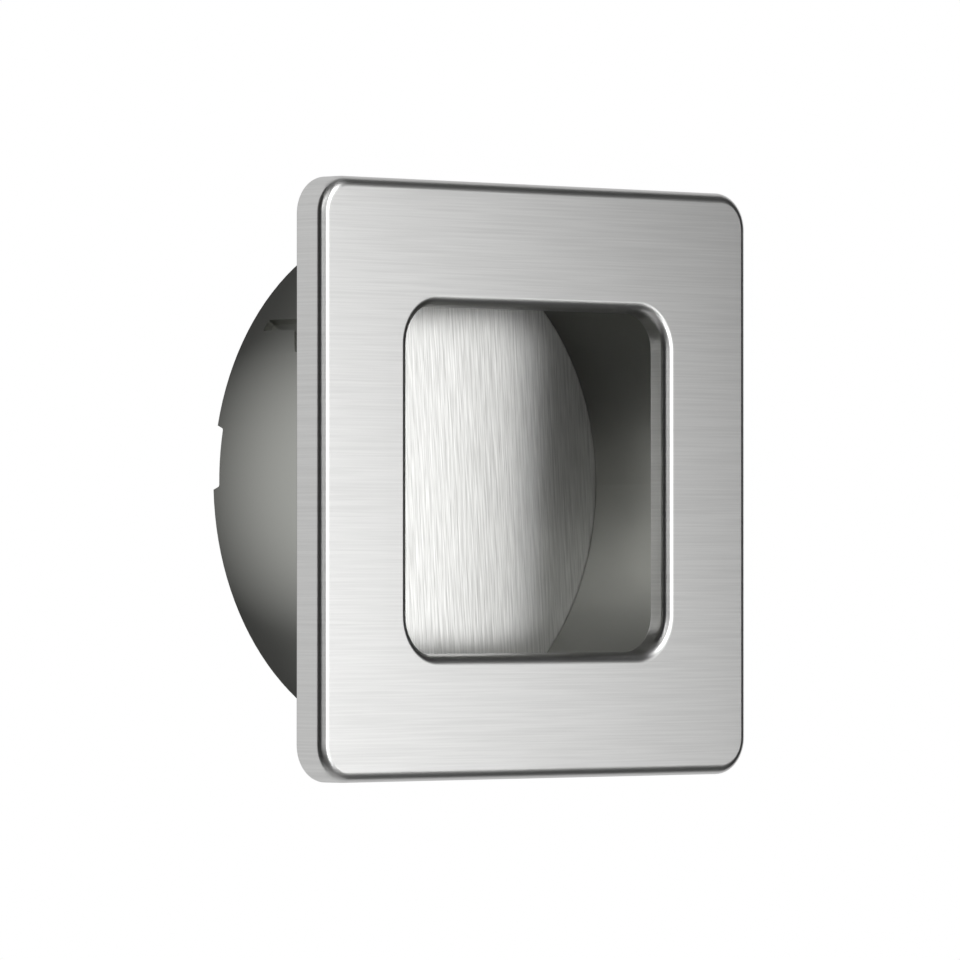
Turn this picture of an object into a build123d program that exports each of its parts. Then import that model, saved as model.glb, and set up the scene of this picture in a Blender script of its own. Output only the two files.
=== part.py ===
"""Square flush pull for a sliding door, in millimetres.

A flat square face plate with a rounded square opening is let onto the door's face.
A round housing stands behind it in the door's bore, wider than the opening, so that
fingers hook behind the plate on all four sides. A separate brushed disc closes the
housing as its floor.

The origin is on the housing's axis in the plane of the door's face, where the plate's
back bears. +Y runs into the door, -Y faces the user, +Z is up.
"""

import os
from math import cos, radians, sin, tan

from build123d import *

# Face plate; it covers the housing by these margins at the sides and at top and bottom
plate_side_margin = 3.3
plate_end_margin = 3.3
plate_thickness = 4.0
plate_corner_radius = 4.1
plate_front_round = 1.2
plate_back_chamfer = 0.2

# Opening in the plate, measured in the front face as if its lip were sharp
opening_width = 39.4
opening_height = 38.2
opening_corner_radius = 4.5
opening_lip_round = 1.1
opening_draft = 8.0
opening_edge_break = 0.15

# Housing tube behind the plate
tube_outer_radius = 29.2
tube_wall = 2.0
tube_edge_break = 0.25

# Flange at the tube's front end, and the round seat in the plate's back that takes it
seat_depth = 1.6
flange_overhang = 0.9
flange_clearance = 0.05
flange_setback = 0.1

# Floor disc, pushed in from behind against a ledge in the tube, whose rim stands past it
recess_depth = 19.1
floor_thickness = 1.2
rim_height = 0.9
floor_edge_break = 0.1
floor_clearance = 0.05
ledge_width = 0.5
ledge_edge_break = 0.12

# Notches in the tube's back rim; angles are measured upwards from the -X side
notch_count = 2
notch_angle = 5.0
notch_depth = 1.2
notch_floor_width = 6.3
notch_mouth_width = 7.2
notch_corner_radius = 0.3

# L-shaped keying grooves in the tube's outer wall; the foot leans towards the plate
groove_count = 2
groove_angle = 32.7
groove_width = 1.5
groove_depth = 1.0
groove_leg_length = 5.1
groove_foot_length = 4.4
groove_foot_lean = 30.0
groove_rim_distance = 2.75
groove_corner_radius = 0.3

# Places along the depth; the plate's back bears on the door's face at 0
front_y = -plate_thickness
seat_y = -seat_depth
flange_back_y = -flange_setback
floor_y = front_y + recess_depth
rim_y = floor_y + floor_thickness + rim_height

plate_width = 2 * (tube_outer_radius + plate_side_margin)
plate_height = 2 * (tube_outer_radius + plate_end_margin)
web_thickness = plate_thickness - seat_depth
flange_radius = tube_outer_radius + flange_overhang
seat_radius = flange_radius + flange_clearance
bore_radius = tube_outer_radius - tube_wall
floor_pocket_radius = bore_radius + ledge_width

# Cutters start inside the wall and end outside it by this much
overshoot = 1.0


def radial_plane(angle, radius):
    """Plane square to a radius of the housing, at an angle above the -X side.

    Its local x runs into the door and its local y runs round the housing.
    """
    outward = Vector(-cos(radians(angle)), 0, sin(radians(angle)))
    return Plane(origin=outward * radius, x_dir=(0, 1, 0), z_dir=outward)


def spread_angles(first, count):
    """Angles of count like features, evenly round the housing from the first."""
    return [first + step * 360.0 / count for step in range(count)]


# Face plate
with BuildPart() as face_plate:
    with BuildSketch(Plane.XZ):
        RectangleRounded(plate_width, plate_height, plate_corner_radius)
    extrude(amount=plate_thickness)

    # Round seat for the tube's flange, in the back face
    with BuildSketch(Plane.XZ):
        Circle(seat_radius)
    extrude(amount=seat_depth, mode=Mode.SUBTRACT)

    # Opening, which narrows slightly towards the back
    with BuildSketch(Plane.XZ.offset(plate_thickness)):
        RectangleRounded(opening_width, opening_height, opening_corner_radius)
    extrude(amount=-web_thickness, taper=opening_draft, mode=Mode.SUBTRACT)

    front_face = face_plate.faces().sort_by(Axis.Y)[0]
    fillet(front_face.outer_wire().edges(), plate_front_round)
    front_face = face_plate.faces().sort_by(Axis.Y)[0]
    fillet(front_face.inner_wires()[0].edges(), opening_lip_round)

    back_face = face_plate.faces().filter_by(Axis.Y).sort_by(Axis.Y)[-1]
    chamfer(back_face.outer_wire().edges(), plate_back_chamfer)
    seat_face = face_plate.faces().filter_by(Axis.Y).sort_by(Axis.Y)[-2]
    chamfer(seat_face.inner_wires()[0].edges(), opening_edge_break)

face_plate.part.label = "face_plate"

# Housing tube: its wall is turned in one profile, with the flange that bears in the
# plate's seat and the ledge that carries the floor
with BuildPart() as housing_tube:
    with BuildSketch(Plane.XY) as wall_profile:
        with BuildLine():
            Polyline(
                (bore_radius, seat_y),
                (flange_radius, seat_y),
                (flange_radius, flange_back_y),
                (tube_outer_radius, flange_back_y),
                (tube_outer_radius, rim_y),
                (floor_pocket_radius, rim_y),
                (floor_pocket_radius, floor_y),
                (bore_radius, floor_y),
                close=True,
            )
        make_face()
        corners = wall_profile.vertices().group_by(Axis.Y)
        flange_front_edge = corners[0].sort_by(Axis.X)[-1]
        ledge_edge = corners[2].sort_by(Axis.X)[0]
        chamfer(corners[-1] + flange_front_edge, tube_edge_break)
        chamfer(ledge_edge, ledge_edge_break)
    revolve(axis=Axis.Y)

    # Notches in the back rim
    for angle in spread_angles(notch_angle, notch_count):
        with BuildSketch(radial_plane(angle, bore_radius - overshoot)) as notch:
            floor_half = notch_floor_width / 2
            mouth_half = notch_mouth_width / 2
            Polygon(
                (rim_y - notch_depth, -floor_half),
                (rim_y, -mouth_half),
                (rim_y, -mouth_half - overshoot),
                (rim_y + overshoot, -mouth_half - overshoot),
                (rim_y + overshoot, mouth_half + overshoot),
                (rim_y, mouth_half + overshoot),
                (rim_y, mouth_half),
                (rim_y - notch_depth, floor_half),
                align=None,
            )
            across = notch.vertices().group_by(Axis.X)
            mouth_corners = across[1].sort_by(Axis.Y)[1:3]
            fillet(across[0] + mouth_corners, notch_corner_radius)
        extrude(amount=tube_wall + 2 * overshoot, mode=Mode.SUBTRACT)

    # L-shaped grooves in the outer wall: a leg along the tube and a foot round it
    for angle in spread_angles(groove_angle, groove_count):
        with BuildSketch(radial_plane(angle, tube_outer_radius - groove_depth)) as groove:
            leg_back = rim_y - groove_rim_distance
            leg_front = leg_back - groove_leg_length
            foot_half = groove_foot_length / 2
            foot_lean = tan(radians(groove_foot_lean))
            foot_width = groove_width / cos(radians(groove_foot_lean))
            foot_drop = foot_lean * (groove_foot_length - groove_width)
            Polygon(
                (leg_back, -foot_half),
                (leg_back, -foot_half + groove_width),
                (leg_front, -foot_half + groove_width),
                (leg_front - foot_drop, foot_half),
                (leg_front - foot_drop - foot_width, foot_half),
                (leg_front + foot_lean * groove_width - foot_width, -foot_half),
                align=None,
            )
            fillet(groove.vertices(), groove_corner_radius)
        extrude(amount=groove_depth + overshoot, mode=Mode.SUBTRACT)

housing_tube.part.label = "housing_tube"

# Floor disc
with BuildPart() as floor_disc:
    with BuildSketch(Plane.XZ.offset(-floor_y - floor_thickness)):
        Circle(floor_pocket_radius - floor_clearance)
    extrude(amount=floor_thickness)
    chamfer(floor_disc.edges().filter_by(GeomType.CIRCLE), floor_edge_break)

floor_disc.part.label = "floor_disc"

os.makedirs("parts", exist_ok=True)
export_step(face_plate.part, "parts/face_plate.step")
export_step(housing_tube.part, "parts/housing_tube.step")
export_step(floor_disc.part, "parts/floor_disc.step")
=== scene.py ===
"""Looks of a square flush pull for a sliding door: brushed plate, blasted housing, brushed floor.

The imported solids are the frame, in metres. Its origin is on the housing's axis in the plane of
the door's face, +Y runs into the door and +Z is up. The plate and the floor disc are modelled
again with finer roundings and a map of their brushing, in the places of their solids. The housing
tube keeps its solid and gets its finish.
"""

import logging
import math
from dataclasses import dataclass
from enum import Enum

import bmesh
import bpy
from mathutils import Matrix, Vector


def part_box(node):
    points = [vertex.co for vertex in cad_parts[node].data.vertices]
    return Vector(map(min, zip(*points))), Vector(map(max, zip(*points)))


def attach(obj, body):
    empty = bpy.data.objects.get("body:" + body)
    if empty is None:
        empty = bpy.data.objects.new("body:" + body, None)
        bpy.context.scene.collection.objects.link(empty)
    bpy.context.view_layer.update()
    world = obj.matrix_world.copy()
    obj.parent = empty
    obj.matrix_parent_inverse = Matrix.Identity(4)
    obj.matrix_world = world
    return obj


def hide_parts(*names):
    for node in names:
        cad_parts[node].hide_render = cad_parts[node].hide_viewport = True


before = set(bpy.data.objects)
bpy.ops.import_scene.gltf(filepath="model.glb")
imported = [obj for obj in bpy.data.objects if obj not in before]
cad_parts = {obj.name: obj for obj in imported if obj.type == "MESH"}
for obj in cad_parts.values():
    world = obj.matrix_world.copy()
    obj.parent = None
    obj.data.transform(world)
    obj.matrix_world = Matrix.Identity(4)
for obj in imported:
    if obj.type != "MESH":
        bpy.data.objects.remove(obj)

log = logging.getLogger("flush_pull")

MM = 0.001
BODY = "root"
GRAIN_MAP = "grain"
Y_AXIS = Vector((0, 1, 0))

# Points nearer to each other than this, in metres, are one point.
SAME_POINT = 1e-6
# An edge between faces that meet at more than this angle is sharp.
SHARP_ANGLE = math.radians(30)
# A noise lies nearly always between these two values, which are drawn out to 0 and 1.
NOISE_LOW, NOISE_HIGH = 0.3, 0.7
# Places of a Mix node's colour sockets, which share their names with its other sockets.
MIX_FIRST_COLOUR, MIX_SECOND_COLOUR, MIX_RESULT_COLOUR = 6, 7, 2


class Grain(Enum):
    """Direction in which a face was brushed, seen from the front."""

    ACROSS = "from side to side"
    UPRIGHT = "from top to bottom"


def linear(hex_colour: str) -> tuple[float, float, float, float]:
    """Turn an sRGB hex colour into the linear colour that shaders take.

    Args:
        hex_colour: Six hex digits, with or without a leading #.

    Returns:
        Red, green, blue and an alpha of 1.
    """
    digits = hex_colour.lstrip("#")
    parts = [int(digits[i : i + 2], 16) / 255 for i in (0, 2, 4)]
    red, green, blue = (p / 12.92 if p <= 0.04045 else ((p + 0.055) / 1.055) ** 2.4 for p in parts)
    return red, green, blue, 1.0


def add_node(
    tree: bpy.types.NodeTree,
    kind: str,
    settings: dict[str, object] | None = None,
    sockets: dict[str | int, object] | None = None,
) -> bpy.types.Node:
    """Add a node, with its settings, socket values and incoming links.

    Args:
        tree: Node tree of the material or world.
        kind: Node type, such as ShaderNodeBump.
        settings: Attributes of the node.
        sockets: Values of its inputs by name or place. A socket given here as a value is linked.

    Returns:
        The new node.
    """
    node = tree.nodes.new(kind)
    for name, value in (settings or {}).items():
        setattr(node, name, value)
    for name, value in (sockets or {}).items():
        if isinstance(value, bpy.types.NodeSocket):
            tree.links.new(value, node.inputs[name])
        else:
            node.inputs[name].default_value = value
    return node


def new_tree(name: str) -> tuple[bpy.types.Material, bpy.types.NodeTree]:
    """Make a material with an empty node tree.

    Args:
        name: Name of the material.

    Returns:
        The material and its tree.
    """
    material = bpy.data.materials.new(name)
    material.use_nodes = True
    material.node_tree.nodes.clear()
    return material, material.node_tree


@dataclass(frozen=True)
class BrushedSteel:
    """Stainless steel brushed with an abrasive belt or wheel.

    The fine parallel grooves spread a reflection across their run and keep it narrow along it.
    Steel's colour comes from its reflectance, so the base colour is a light neutral grey. Grooves
    give the relief and hairs the faint stripes of the colour. Their spacings and lengths and the
    relief are in millimetres, and the lean is in degrees.
    """

    name: str
    colour: str
    groove_colour: str
    roughness: float
    anisotropy: float
    grain: Grain
    lean: float
    groove_spacing: float
    groove_length: float
    groove_relief: float
    hair_spacing: float
    hair_length: float

    def material(self) -> bpy.types.Material:
        """Build the material.

        Returns:
            The finished material.
        """
        material, tree = new_tree(self.name)
        position = add_node(tree, "ShaderNodeTexCoord").outputs["Object"]
        grooves = self._stripes(tree, position, self.groove_spacing, self.groove_length)
        hairs = self._stripes(tree, position, self.hair_spacing, self.hair_length)
        colour = add_node(
            tree,
            "ShaderNodeMix",
            settings={"data_type": "RGBA"},
            sockets={
                "Factor": hairs,
                MIX_FIRST_COLOUR: linear(self.groove_colour),
                MIX_SECOND_COLOUR: linear(self.colour),
            },
        ).outputs[MIX_RESULT_COLOUR]
        bump = add_node(
            tree,
            "ShaderNodeBump",
            sockets={"Strength": 1.0, "Distance": self.groove_relief * MM, "Height": grooves},
        ).outputs["Normal"]
        tangent = add_node(
            tree, "ShaderNodeTangent", settings={"direction_type": "UV_MAP", "uv_map": GRAIN_MAP}
        ).outputs["Tangent"]
        shader = add_node(
            tree,
            "ShaderNodeBsdfPrincipled",
            sockets={
                "Base Color": colour,
                "Metallic": 1.0,
                "Roughness": self.roughness,
                "Anisotropic": self.anisotropy,
                "Tangent": tangent,
                "Normal": bump,
            },
        )
        add_node(tree, "ShaderNodeOutputMaterial", sockets={"Surface": shader.outputs["BSDF"]})
        return material

    def _stripes(
        self,
        tree: bpy.types.NodeTree,
        position: bpy.types.NodeSocket,
        spacing: float,
        length: float,
    ) -> bpy.types.NodeSocket:
        """Add a noise that is drawn out along the grain.

        Args:
            tree: Tree that gets the nodes.
            position: Object coordinates.
            spacing: Distance between stripes, in millimetres.
            length: Length of a stripe, in millimetres.

        Returns:
            The stripes' height from 0 to 1.
        """
        along = length * MM
        between = spacing * MM
        scale = (along, along, between) if self.grain is Grain.ACROSS else (between, along, along)
        placed = add_node(
            tree,
            "ShaderNodeMapping",
            settings={"vector_type": "TEXTURE"},
            sockets={
                "Vector": position,
                "Rotation": (0.0, -math.radians(self.lean), 0.0),
                "Scale": scale,
            },
        ).outputs["Vector"]
        noise = add_node(
            tree, "ShaderNodeTexNoise", sockets={"Vector": placed, "Scale": 1.0, "Detail": 2.0}
        ).outputs["Fac"]
        return add_node(
            tree,
            "ShaderNodeMapRange",
            sockets={"Value": noise, "From Min": NOISE_LOW, "From Max": NOISE_HIGH},
        ).outputs["Result"]


@dataclass(frozen=True)
class BlastedSteel:
    """Steel with a fine even blast, which gives a matt and slightly warm grey with no direction.

    The grit and the relief are in millimetres.
    """

    name: str
    colour: str
    roughness: float
    grit: float
    relief: float

    def material(self) -> bpy.types.Material:
        """Build the material.

        Returns:
            The finished material.
        """
        material, tree = new_tree(self.name)
        position = add_node(tree, "ShaderNodeTexCoord").outputs["Object"]
        placed = add_node(
            tree,
            "ShaderNodeMapping",
            settings={"vector_type": "TEXTURE"},
            sockets={"Vector": position, "Scale": (self.grit * MM,) * 3},
        ).outputs["Vector"]
        pits = add_node(
            tree, "ShaderNodeTexNoise", sockets={"Vector": placed, "Scale": 1.0, "Detail": 2.0}
        ).outputs["Fac"]
        bump = add_node(
            tree,
            "ShaderNodeBump",
            sockets={"Strength": 1.0, "Distance": self.relief * MM, "Height": pits},
        ).outputs["Normal"]
        shader = add_node(
            tree,
            "ShaderNodeBsdfPrincipled",
            sockets={
                "Base Color": linear(self.colour),
                "Metallic": 1.0,
                "Roughness": self.roughness,
                "Normal": bump,
            },
        )
        add_node(tree, "ShaderNodeOutputMaterial", sockets={"Surface": shader.outputs["BSDF"]})
        return material


# Stainless steel brushed on a belt, from side to side. Its fine grooves draw each light out into a
# soft glow up and down the plate and leave faint lines across. A 180-grit belt leaves grooves of
# about 0.08 mm. They are drawn twice as wide, because finer ones vanish between the render's
# pixels.
PLATE_FINISH = BrushedSteel(
    name="plate_belt_brushed_steel",
    colour="#D9D9D8",
    groove_colour="#CFCFCE",
    roughness=0.28,
    anisotropy=0.85,
    grain=Grain.ACROSS,
    lean=0.0,
    groove_spacing=0.16,
    groove_length=7.0,
    groove_relief=0.002,
    hair_spacing=0.2,
    hair_length=12.0,
)
# The same steel brushed by hand with a coarse pad, from top to bottom and a little aslant. Its
# scratches are 0.25 to 0.35 mm apart and 5 to 7 mm long, so they show as streaks and draw the light
# out to both sides.
FLOOR_FINISH = BrushedSteel(
    name="floor_coarse_brushed_steel",
    colour="#E0E0DE",
    groove_colour="#C3C3C1",
    roughness=0.4,
    anisotropy=0.95,
    grain=Grain.UPRIGHT,
    lean=4.0,
    groove_spacing=0.35,
    groove_length=7.0,
    groove_relief=0.02,
    hair_spacing=0.25,
    hair_length=5.0,
)
# Steel blasted with beads of about 0.12 mm, which leaves pits of that size and mirrors the light as
# a soft blur with no direction. The alloy is a little darker and warmer than the plate's.
HOUSING_FINISH = BlastedSteel(
    name="housing_blasted_steel",
    colour="#BDBEB9",
    roughness=0.36,
    grit=0.12,
    relief=0.002,
)


def finish_mesh(bm: bmesh.types.BMesh, name: str, material: bpy.types.Material) -> bpy.types.Object:
    """Turn a bmesh into a smooth-shaded object at the origin, in the scene.

    Args:
        bm: The finished shape, in the frame's metres. It is freed.
        name: Name of the object.
        material: Its only material.

    Returns:
        The object.
    """
    bmesh.ops.recalc_face_normals(bm, faces=bm.faces)
    for face in bm.faces:
        face.smooth = True
    mesh = bpy.data.meshes.new(name)
    bm.to_mesh(mesh)
    bm.free()
    mesh.materials.append(material)
    piece = bpy.data.objects.new(name, mesh)
    bpy.context.scene.collection.objects.link(piece)
    weighted = piece.modifiers.new("flat faces stay flat", "WEIGHTED_NORMAL")
    weighted.weight = 100
    return piece


def stage_mesh(bm: bmesh.types.BMesh, name: str, material: bpy.types.Material) -> bpy.types.Object:
    """Turn a bmesh into an object of the studio, which isn't part of the pull.

    Args:
        bm: The shape. It is freed.
        name: Name of the object.
        material: Its material.

    Returns:
        The object.
    """
    mesh = bpy.data.meshes.new(name)
    bm.to_mesh(mesh)
    bm.free()
    mesh.materials.append(material)
    prop = bpy.data.objects.new(name, mesh)
    bpy.context.scene.collection.objects.link(prop)
    return prop


def map_grain(bm: bmesh.types.BMesh, grain: Grain, lean: float) -> None:
    """Give each face a map whose u runs across the grooves and whose v runs along them.

    Args:
        bm: The finished shape.
        grain: Direction of the brushing.
        lean: Angle in degrees by which the grooves lean, seen from the front.
    """
    angle = math.radians(lean)
    right = Vector((math.cos(angle), 0, math.sin(angle)))
    up = Vector((-math.sin(angle), 0, math.cos(angle)))
    layer = bm.loops.layers.uv.new(GRAIN_MAP)
    for face in bm.faces:
        sizes = [abs(n) for n in face.normal]
        facing = "XYZ"[sizes.index(max(sizes))]
        flat_right = Y_AXIS if facing == "X" else right
        flat_up = Y_AXIS if facing == "Z" else up
        across, along = (flat_up, flat_right) if grain is Grain.ACROSS else (flat_right, flat_up)
        for loop in face.loops:
            loop[layer].uv = (loop.vert.co.dot(across) / MM, loop.vert.co.dot(along) / MM)


@dataclass
class FacePlate:
    """Square face plate with a rounded front edge, a rounded lip and a round seat in its back.

    Edges that lie nearer to the axis than the seat belong to the opening, and those beyond it to
    the plate's outline. The margin keeps the seat's own edge out of both.
    """

    corner_radius: float = 4.1 * MM
    front_round: float = 1.2 * MM
    back_round: float = 0.2 * MM
    opening_width: float = 39.4 * MM
    opening_height: float = 38.2 * MM
    opening_corner_radius: float = 4.5 * MM
    opening_draft: float = math.radians(8)
    lip_round: float = 1.1 * MM
    edge_break: float = 0.15 * MM
    seat_radius: float = 30.15 * MM
    seat_depth: float = 1.6 * MM
    seat_margin: float = 1.0 * MM
    corner_steps: int = 16
    side_steps: int = 10
    round_steps: int = 12
    edge_steps: int = 3

    def build(self) -> bpy.types.Object:
        """Model the plate as a quarter and mirror it.

        Returns:
            The plate, dressed and riding on its body.
        """
        low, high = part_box("face_plate")
        half_width, half_height = high.x, high.z
        front, back = low.y, high.y
        web_back = back - self.seat_depth
        narrowing = math.tan(self.opening_draft) * (web_back - front)

        bm = bmesh.new()
        outlines = [
            self._rounded(bm, half_width, half_height, self.corner_radius, back),
            self._rounded(bm, half_width, half_height, self.corner_radius, front),
            self._opening(bm, 0, front),
            self._opening(bm, narrowing, web_back),
            self._round(bm, self.seat_radius, web_back),
            self._round(bm, self.seat_radius, back),
        ]
        for near, far in zip(outlines, outlines[1:] + outlines[:1]):
            bmesh.ops.bridge_loops(bm, edges=near + far)
        for axis in ("X", "Z"):
            geometry = bm.verts[:] + bm.edges[:] + bm.faces[:]
            bmesh.ops.mirror(
                bm, geom=geometry, matrix=Matrix(), merge_dist=SAME_POINT, axis=axis
            )
        bmesh.ops.recalc_face_normals(bm, faces=bm.faces)

        # The lip's corner isn't square, so its rounding reaches less far than its radius.
        lip_reach = self.lip_round * math.tan((math.pi / 2 - self.opening_draft) / 2)
        inside = (0, self.seat_radius - self.seat_margin)
        outside = (self.seat_radius + self.seat_margin, math.inf)
        self._soften(bm, front, outside, self.front_round, self.round_steps)
        self._soften(bm, front, inside, lip_reach, self.round_steps)
        self._soften(bm, back, outside, self.back_round, self.edge_steps)
        self._soften(bm, web_back, inside, self.edge_break, self.edge_steps)
        map_grain(bm, PLATE_FINISH.grain, PLATE_FINISH.lean)

        plate = finish_mesh(bm, "brushed_face_plate", PLATE_FINISH.material())
        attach(plate, BODY)
        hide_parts("face_plate")
        return plate

    def _rounded(
        self, bm: bmesh.types.BMesh, half_width: float, half_height: float, radius: float, y: float
    ) -> list[bmesh.types.BMEdge]:
        """Draw the upper right quarter of a rounded rectangle.

        Args:
            bm: Bmesh that gets the edges.
            half_width: Half of its width.
            half_height: Half of its height.
            radius: Radius of the corner.
            y: Depth at which it lies.

        Returns:
            Its edges.
        """
        before = set(bm.edges)
        middle = Vector((half_width - radius, y, half_height - radius))
        start = bm.verts.new((0, y, half_height))
        corner = self._sweep(bm, start, self.side_steps, way=Vector((middle.x, 0, 0)))
        side = self._sweep(bm, corner, self.corner_steps, centre=middle, angle=math.pi / 2)
        self._sweep(bm, side, self.side_steps, way=Vector((0, 0, -middle.z)))
        return [e for e in bm.edges if e not in before]

    def _sweep(
        self,
        bm: bmesh.types.BMesh,
        start: bmesh.types.BMVert,
        steps: int,
        centre: Vector = Vector(),
        angle: float = 0.0,
        way: Vector = Vector(),
    ) -> bmesh.types.BMVert:
        """Carry an outline on from a vertex, round a centre or straight.

        Args:
            bm: Bmesh of the outline.
            start: Vertex at which the stretch starts.
            steps: Edges of the stretch.
            centre: Centre of an arc.
            angle: Angle of an arc, clockwise as seen from the front.
            way: Whole run of a straight stretch.

        Returns:
            The vertex at its end.
        """
        swept = bmesh.ops.spin(
            bm,
            geom=[start],
            cent=centre,
            axis=Y_AXIS,
            angle=angle,
            dvec=way / steps,
            steps=steps,
        )
        return next(v for v in swept["geom_last"] if isinstance(v, bmesh.types.BMVert))

    def _opening(
        self, bm: bmesh.types.BMesh, narrowing: float, y: float
    ) -> list[bmesh.types.BMEdge]:
        """Draw the upper right quarter of the opening.

        Args:
            bm: Bmesh that gets the edges.
            narrowing: How much nearer to the axis its sides are than on the front.
            y: Depth at which it lies.

        Returns:
            Its edges.
        """
        return self._rounded(
            bm,
            self.opening_width / 2 - narrowing,
            self.opening_height / 2 - narrowing,
            self.opening_corner_radius - narrowing,
            y,
        )

    def _round(self, bm: bmesh.types.BMesh, radius: float, y: float) -> list[bmesh.types.BMEdge]:
        """Draw the upper right quarter of a circle, with as many edges as the other outlines.

        Args:
            bm: Bmesh that gets the edges.
            radius: Its radius.
            y: Depth at which it lies.

        Returns:
            Its edges.
        """
        before = set(bm.edges)
        start = bm.verts.new((0, y, radius))
        steps = self.corner_steps + 2 * self.side_steps
        self._sweep(bm, start, steps, centre=Vector((0, y, 0)), angle=math.pi / 2)
        return [e for e in bm.edges if e not in before]

    def _soften(
        self, bm: bmesh.types.BMesh, y: float, within: tuple[float, float], width: float, steps: int
    ) -> None:
        """Round the sharp edges at one depth.

        Args:
            bm: The whole plate.
            y: Depth of the edges.
            within: Least and greatest distance from the axis at which the edges lie.
            width: How far the rounding reaches on each face.
            steps: Its segments.
        """
        bmesh.ops.bevel(
            bm,
            geom=[e for e in bm.edges if self._is_sharp(e, y, within)],
            offset=width,
            offset_type="OFFSET",
            segments=steps,
            profile=0.5,
            affect="EDGES",
            material=-1,
            clamp_overlap=True,
        )

    def _is_sharp(self, edge: bmesh.types.BMEdge, y: float, within: tuple[float, float]) -> bool:
        """Tell whether an edge is sharp and lies in a place.

        Args:
            edge: Edge of the plate.
            y: Depth at which it has to lie.
            within: Least and greatest distance from the axis at which it has to lie.

        Returns:
            True for such an edge.
        """
        if any(abs(v.co.y - y) > SAME_POINT for v in edge.verts):
            return False
        if edge.calc_face_angle() < SHARP_ANGLE:
            return False
        return all(within[0] < math.hypot(v.co.x, v.co.z) < within[1] for v in edge.verts)


@dataclass
class FloorDisc:
    """Flat brushed disc that closes the housing."""

    edge_break: float = 0.1 * MM
    segments: int = 192

    def build(self) -> bpy.types.Object:
        """Turn the disc from its profile.

        Returns:
            The disc, dressed and riding on its body.
        """
        low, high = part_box("floor_disc")
        radius = high.x
        profile = [
            (0, low.y),
            (radius - self.edge_break, low.y),
            (radius, low.y + self.edge_break),
            (radius, high.y - self.edge_break),
            (radius - self.edge_break, high.y),
            (0, high.y),
        ]
        bm = bmesh.new()
        corners = [bm.verts.new((x, y, 0)) for x, y in profile]
        edges = [bm.edges.new(pair) for pair in zip(corners, corners[1:])]
        bmesh.ops.spin(
            bm,
            geom=corners + edges,
            cent=(0, 0, 0),
            axis=Y_AXIS,
            angle=math.tau,
            steps=self.segments,
            use_merge=True,
        )
        bmesh.ops.remove_doubles(bm, verts=bm.verts, dist=SAME_POINT)
        map_grain(bm, FLOOR_FINISH.grain, FLOOR_FINISH.lean)

        disc = finish_mesh(bm, "brushed_floor_disc", FLOOR_FINISH.material())
        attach(disc, BODY)
        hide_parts("floor_disc")
        return disc


@dataclass
class HousingTube:
    """Turned housing tube with its notches and grooves, kept as its solid."""

    node: str = "housing_tube"

    def build(self) -> bpy.types.Object:
        """Dress the solid.

        Returns:
            The tube.
        """
        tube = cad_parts[self.node]
        for slot in tube.material_slots:
            slot.material = HOUSING_FINISH.material()
        return tube


@dataclass
class LightTent:
    """Round tent of cloth that the metal mirrors: dark in front, softly lit behind the pull.

    The cloth shines with the strength dark up to the depth glow_starts and with the strength glow
    from the depth glow_full on. Depths and the radius are in metres.
    """

    radius: float = 1.6
    dark: float = 0.03
    glow: float = 0.7
    glow_starts: float = 0.0
    glow_full: float = 0.6
    segments: int = 64
    rings: int = 32

    def build(self) -> None:
        """Make the tent. The camera looks through its cloth."""
        bm = bmesh.new()
        bmesh.ops.create_uvsphere(
            bm, u_segments=self.segments, v_segments=self.rings, radius=self.radius
        )
        tent = stage_mesh(bm, "light_tent", self._material())
        tent.visible_camera = False

    def _material(self) -> bpy.types.Material:
        """Let the cloth glow from a little behind the pull on.

        Returns:
            The tent's material.
        """
        material, tree = new_tree("tent_cloth")
        position = add_node(tree, "ShaderNodeTexCoord").outputs["Object"]
        depth = add_node(tree, "ShaderNodeSeparateXYZ", sockets={"Vector": position}).outputs["Y"]
        light = add_node(
            tree,
            "ShaderNodeMapRange",
            settings={"interpolation_type": "SMOOTHSTEP"},
            sockets={
                "Value": depth,
                "From Min": self.glow_starts,
                "From Max": self.glow_full,
                "To Min": self.dark,
                "To Max": self.glow,
            },
        ).outputs["Result"]
        shine = add_node(tree, "ShaderNodeEmission", sockets={"Strength": light})
        add_node(tree, "ShaderNodeOutputMaterial", sockets={"Surface": shine.outputs["Emission"]})
        return material


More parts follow.
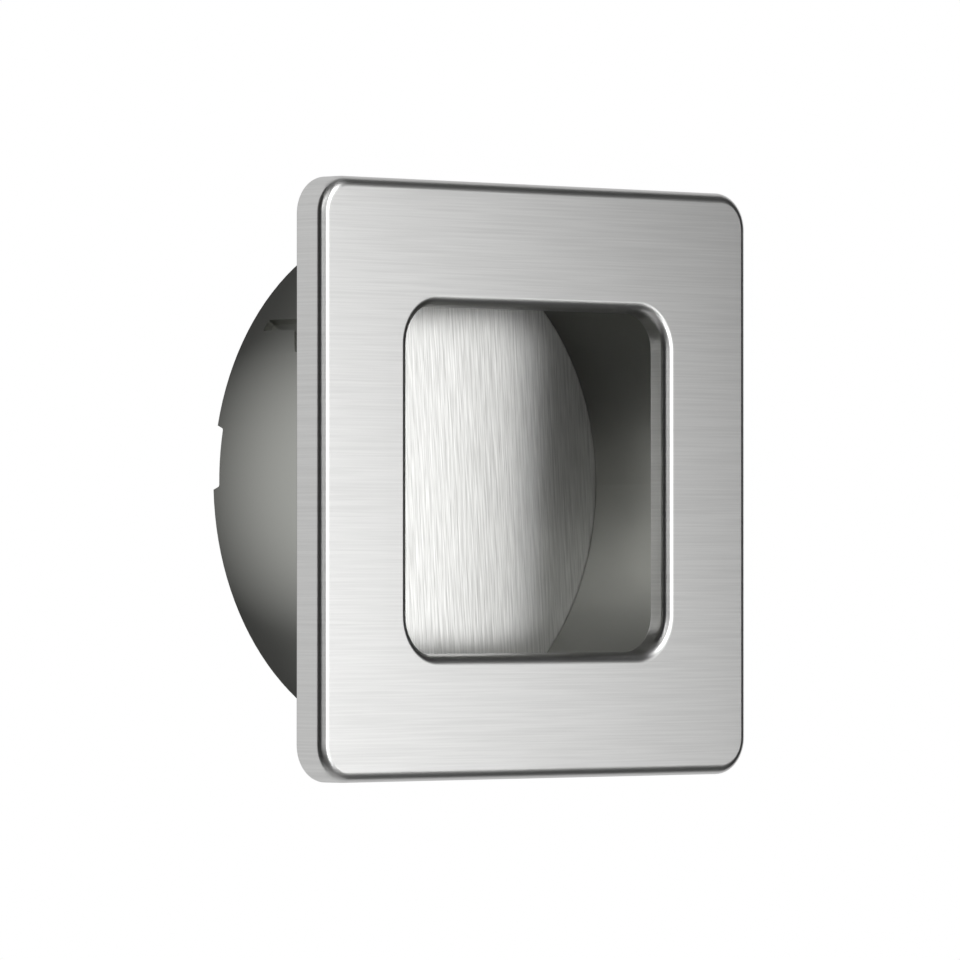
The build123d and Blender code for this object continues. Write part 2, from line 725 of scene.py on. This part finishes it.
@dataclass
class SoftBox:
    """Panel of soft light in front of the plate, parallel to it, whose light falls off.

    The fade runs along a line that rises to the right by fade_tilt. Each of its steps is a place
    on that line, in millimetres from the housing's axis, and the share of the brightness there.
    """

    name: str
    left: float
    right: float
    bottom: float
    top: float
    brightness: float
    fade: tuple[tuple[float, float], ...]
    fade_tilt: float = math.radians(39)
    distance: float = 350 * MM

    def build(self) -> None:
        """Make the panel and its graded light."""
        size = (self.right - self.left, 1, self.top - self.bottom)
        middle = ((self.left + self.right) / 2, -self.distance, (self.top + self.bottom) / 2)
        bm = bmesh.new()
        bmesh.ops.create_grid(bm, x_segments=1, y_segments=1, size=0.5)
        bmesh.ops.rotate(bm, verts=bm.verts, matrix=Matrix.Rotation(math.pi / 2, 3, "X"))
        bmesh.ops.scale(bm, verts=bm.verts, vec=size)
        bmesh.ops.translate(bm, verts=bm.verts, vec=middle)
        panel = stage_mesh(bm, self.name, self._material())
        panel.visible_camera = False

    def _material(self) -> bpy.types.Material:
        """Grade the light along the line of the fade.

        Returns:
            The panel's material.
        """
        material, tree = new_tree(f"{self.name}_cloth")
        position = add_node(tree, "ShaderNodeTexCoord").outputs["Object"]
        turned = add_node(
            tree,
            "ShaderNodeMapping",
            sockets={"Vector": position, "Rotation": (0, self.fade_tilt, 0)},
        ).outputs["Vector"]
        along = add_node(tree, "ShaderNodeSeparateXYZ", sockets={"Vector": turned}).outputs["X"]
        first, last = self.fade[0][0], self.fade[-1][0]
        place = add_node(
            tree,
            "ShaderNodeMapRange",
            sockets={"Value": along, "From Min": first * MM, "From Max": last * MM},
        ).outputs["Result"]
        ramp = add_node(tree, "ShaderNodeValToRGB", sockets={"Fac": place})
        stops = ramp.color_ramp.elements
        # A ramp starts with two stops. The others are added anywhere and then put in place.
        for _ in self.fade[2:]:
            stops.new(0.5)
        for stop, (at, level) in zip(stops, self.fade):
            stop.position = (at - first) / (last - first)
            stop.color = (level, level, level, 1)
        shine = add_node(
            tree,
            "ShaderNodeEmission",
            sockets={"Color": ramp.outputs["Color"], "Strength": self.brightness},
        )
        add_node(tree, "ShaderNodeOutputMaterial", sockets={"Surface": shine.outputs["Emission"]})
        return material


# Main light, in front and a little to the right, which reaches the floor disc through the opening.
# Its left side is dim, because the plate mirrors it in a view from the front.
MAIN_BOX = SoftBox(
    name="main_soft_box",
    left=-315 * MM,
    right=215 * MM,
    bottom=-85 * MM,
    top=260 * MM,
    brightness=5.2,
    fade=((-315, 0.12), (-20, 0.17), (35, 1.0), (130, 1.0), (160, 0.35), (215, 0.35)),
    fade_tilt=0.0,
)
# High light, from the upper left, which reaches the lower right of the housing's inner wall.
HIGH_BOX = SoftBox(
    name="high_soft_box",
    left=-400 * MM,
    right=-60 * MM,
    bottom=-10 * MM,
    top=320 * MM,
    brightness=3.0,
    fade=((-10, 0.0), (90, 0.35), (220, 1.0), (320, 1.0)),
    fade_tilt=math.radians(90),
)
# Light that the plate mirrors at the photograph's angle. It falls off to the upper right, and the
# plate's brightness falls with it.
EDGE_BOX = SoftBox(
    name="fading_soft_box",
    left=215 * MM,
    right=520 * MM,
    bottom=-120 * MM,
    top=115 * MM,
    brightness=2.9,
    fade=(
        (120, 1.0),
        (195, 0.7),
        (245, 0.55),
        (275, 0.36),
        (305, 0.23),
        (340, 0.14),
        (380, 0.05),
    ),
)


@dataclass
class Paper:
    """White paper in the plane on which the housing's rim stands, with a hole for the housing.

    It glows in place of paper lit from the front. The soft square shadow that the plate would
    throw on it is painted into that glow, which falls off towards the housing in that form: it has
    the strength brightness beyond shade_end and the strength shade within shade_start, measured
    square to the plate's sides.
    """

    brightness: float = 0.76
    shade: float = 0.08
    shade_start: float = 26 * MM
    shade_end: float = 42 * MM
    hole_radius: float = 29 * MM
    radius: float = 450 * MM
    segments: int = 96

    def build(self) -> None:
        """Cut the paper and give it its glow, with the plate's shadow painted in."""
        _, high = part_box("housing_tube")
        bm = bmesh.new()
        start = bm.verts.new((0, high.y, self.hole_radius))
        grown = bmesh.ops.extrude_vert_indiv(bm, verts=[start])
        bmesh.ops.translate(bm, verts=grown["verts"], vec=(0, 0, self.radius - self.hole_radius))
        bmesh.ops.spin(
            bm,
            geom=bm.verts[:] + bm.edges[:],
            cent=(0, 0, 0),
            axis=Y_AXIS,
            angle=math.tau,
            steps=self.segments,
            use_merge=True,
        )
        # Its lit side faces the front.
        for face in bm.faces:
            face.normal_update()
            if face.normal.y > 0:
                face.normal_flip()
        paper = stage_mesh(bm, "paper", self._material())
        paper.visible_camera = False

    def _material(self) -> bpy.types.Material:
        """Grade the paper's glow, with the plate's shadow painted in. Its back is clear, so that it
        hides nothing from behind.

        Returns:
            The paper's material.
        """
        material, tree = new_tree("paper_glow_with_painted_shadow")
        position = add_node(tree, "ShaderNodeTexCoord").outputs["Object"]
        size = add_node(
            tree,
            "ShaderNodeVectorMath",
            settings={"operation": "ABSOLUTE"},
            sockets={"Vector": position},
        ).outputs["Vector"]
        parts = add_node(tree, "ShaderNodeSeparateXYZ", sockets={"Vector": size}).outputs
        away = add_node(
            tree,
            "ShaderNodeMath",
            settings={"operation": "MAXIMUM"},
            sockets={0: parts["X"], 1: parts["Z"]},
        ).outputs["Value"]
        # Painted shadow: the glow dims towards the housing, square to the plate's sides, where the
        # plate's shadow would fall.
        light = add_node(
            tree,
            "ShaderNodeMapRange",
            sockets={
                "Value": away,
                "From Min": self.shade_start,
                "From Max": self.shade_end,
                "To Min": self.shade,
                "To Max": self.brightness,
            },
        ).outputs["Result"]
        shine = add_node(tree, "ShaderNodeEmission", sockets={"Strength": light})
        clear = add_node(tree, "ShaderNodeBsdfTransparent")
        side = add_node(tree, "ShaderNodeNewGeometry").outputs["Backfacing"]
        mixed = add_node(
            tree,
            "ShaderNodeMixShader",
            sockets={0: side, 1: shine.outputs["Emission"], 2: clear.outputs["BSDF"]},
        )
        add_node(tree, "ShaderNodeOutputMaterial", sockets={"Surface": mixed.outputs["Shader"]})
        return material


@dataclass
class Studio:
    """Pale floor, soft light and the camera.

    The camera's lens and sensor are in millimetres and its nearest and farthest sight in metres.
    """

    azimuth: float = math.radians(43.67)
    elevation: float = math.radians(-0.72)
    distance: float = 875.9 * MM
    lens: float = 300.3
    sensor: float = 36.0
    nearest: float = 0.05
    farthest: float = 20.0
    aim_left: float = 6.59 * MM
    aim_up: float = 0.15 * MM
    fill_colour: str = "#808080"
    background_colour: str = "#FFFFFF"
    floor_colour: str = "#E6E6E6"
    floor_lift_colour: str = "#CCCCCC"
    floor_drop: float = 400 * MM
    floor_radius: float = 300 * MM
    floor_segments: int = 96

    def build(self) -> None:
        """Set up the floor, the lights, the white background and the camera."""
        self._camera()
        self._background()
        self._floor()
        LightTent().build()
        Paper().build()
        for box in (MAIN_BOX, HIGH_BOX, EDGE_BOX):
            box.build()

    def _camera(self) -> None:
        """Place the camera at the photograph's angle, a little below the plate's middle."""
        low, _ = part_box("face_plate")
        back = Vector(
            (
                -math.sin(self.azimuth) * math.cos(self.elevation),
                -math.cos(self.azimuth) * math.cos(self.elevation),
                math.sin(self.elevation),
            )
        )
        turn = (-back).to_track_quat("-Z", "Y")
        middle = Vector((0, low.y, 0))
        aim = middle + turn @ Vector((-self.aim_left, self.aim_up, 0))
        data = bpy.data.cameras.new("camera")
        data.lens = self.lens
        data.sensor_width = self.sensor
        data.clip_start, data.clip_end = self.nearest, self.farthest
        camera = bpy.data.objects.new("camera", data)
        camera.rotation_mode = "QUATERNION"
        camera.rotation_quaternion = turn
        camera.location = aim + back * self.distance
        bpy.context.scene.collection.objects.link(camera)
        bpy.context.scene.camera = camera

    def _background(self) -> None:
        """Make the world white where the camera, metal or glass sees it."""
        world = bpy.data.worlds.new("studio")
        bpy.context.scene.world = world
        world.use_nodes = True
        tree = world.node_tree
        tree.nodes.clear()
        path = add_node(tree, "ShaderNodeLightPath").outputs
        seen: bpy.types.NodeSocket = path["Is Camera Ray"]
        for ray in ("Is Glossy Ray", "Is Transmission Ray"):
            seen = add_node(
                tree,
                "ShaderNodeMath",
                settings={"operation": "MAXIMUM"},
                sockets={0: seen, 1: path[ray]},
            ).outputs["Value"]
        fill = add_node(
            tree, "ShaderNodeBackground", sockets={"Color": linear(self.fill_colour)}
        )
        white = add_node(
            tree, "ShaderNodeBackground", sockets={"Color": linear(self.background_colour)}
        )
        mixed = add_node(
            tree,
            "ShaderNodeMixShader",
            sockets={0: seen, 1: fill.outputs["Background"], 2: white.outputs["Background"]},
        )
        add_node(tree, "ShaderNodeOutputWorld", sockets={"Surface": mixed.outputs["Shader"]})

    def _floor(self) -> None:
        """Lay the pale floor below the pull, which hangs free as in its door.

        The camera sees it lifted to white, with the shadow that falls on it.
        """
        material, tree = new_tree("floor_pale")
        paint = add_node(
            tree, "ShaderNodeBsdfDiffuse", sockets={"Color": linear(self.floor_colour)}
        )
        seen = add_node(tree, "ShaderNodeLightPath").outputs["Is Camera Ray"]
        lift = add_node(
            tree,
            "ShaderNodeEmission",
            sockets={"Color": linear(self.floor_lift_colour), "Strength": seen},
        )
        both = add_node(
            tree,
            "ShaderNodeAddShader",
            sockets={0: paint.outputs["BSDF"], 1: lift.outputs["Emission"]},
        )
        add_node(tree, "ShaderNodeOutputMaterial", sockets={"Surface": both.outputs["Shader"]})
        bm = bmesh.new()
        bmesh.ops.create_circle(
            bm, cap_ends=True, segments=self.floor_segments, radius=self.floor_radius
        )
        bmesh.ops.translate(bm, verts=bm.verts, vec=(0, 0, -self.floor_drop))
        stage_mesh(bm, "floor", material)


def main() -> None:
    """Build and dress each piece, then the studio."""
    logging.basicConfig(level=logging.INFO, format="%(name)s: %(message)s")
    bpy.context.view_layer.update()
    bpy.context.scene.view_settings.view_transform = "Standard"
    for part in (FacePlate(), FloorDisc(), HousingTube()):
        piece = part.build()
        log.info("%s: %d faces", piece.name, len(piece.data.polygons))
    Studio().build()


if __name__ == "__main__":
    main()
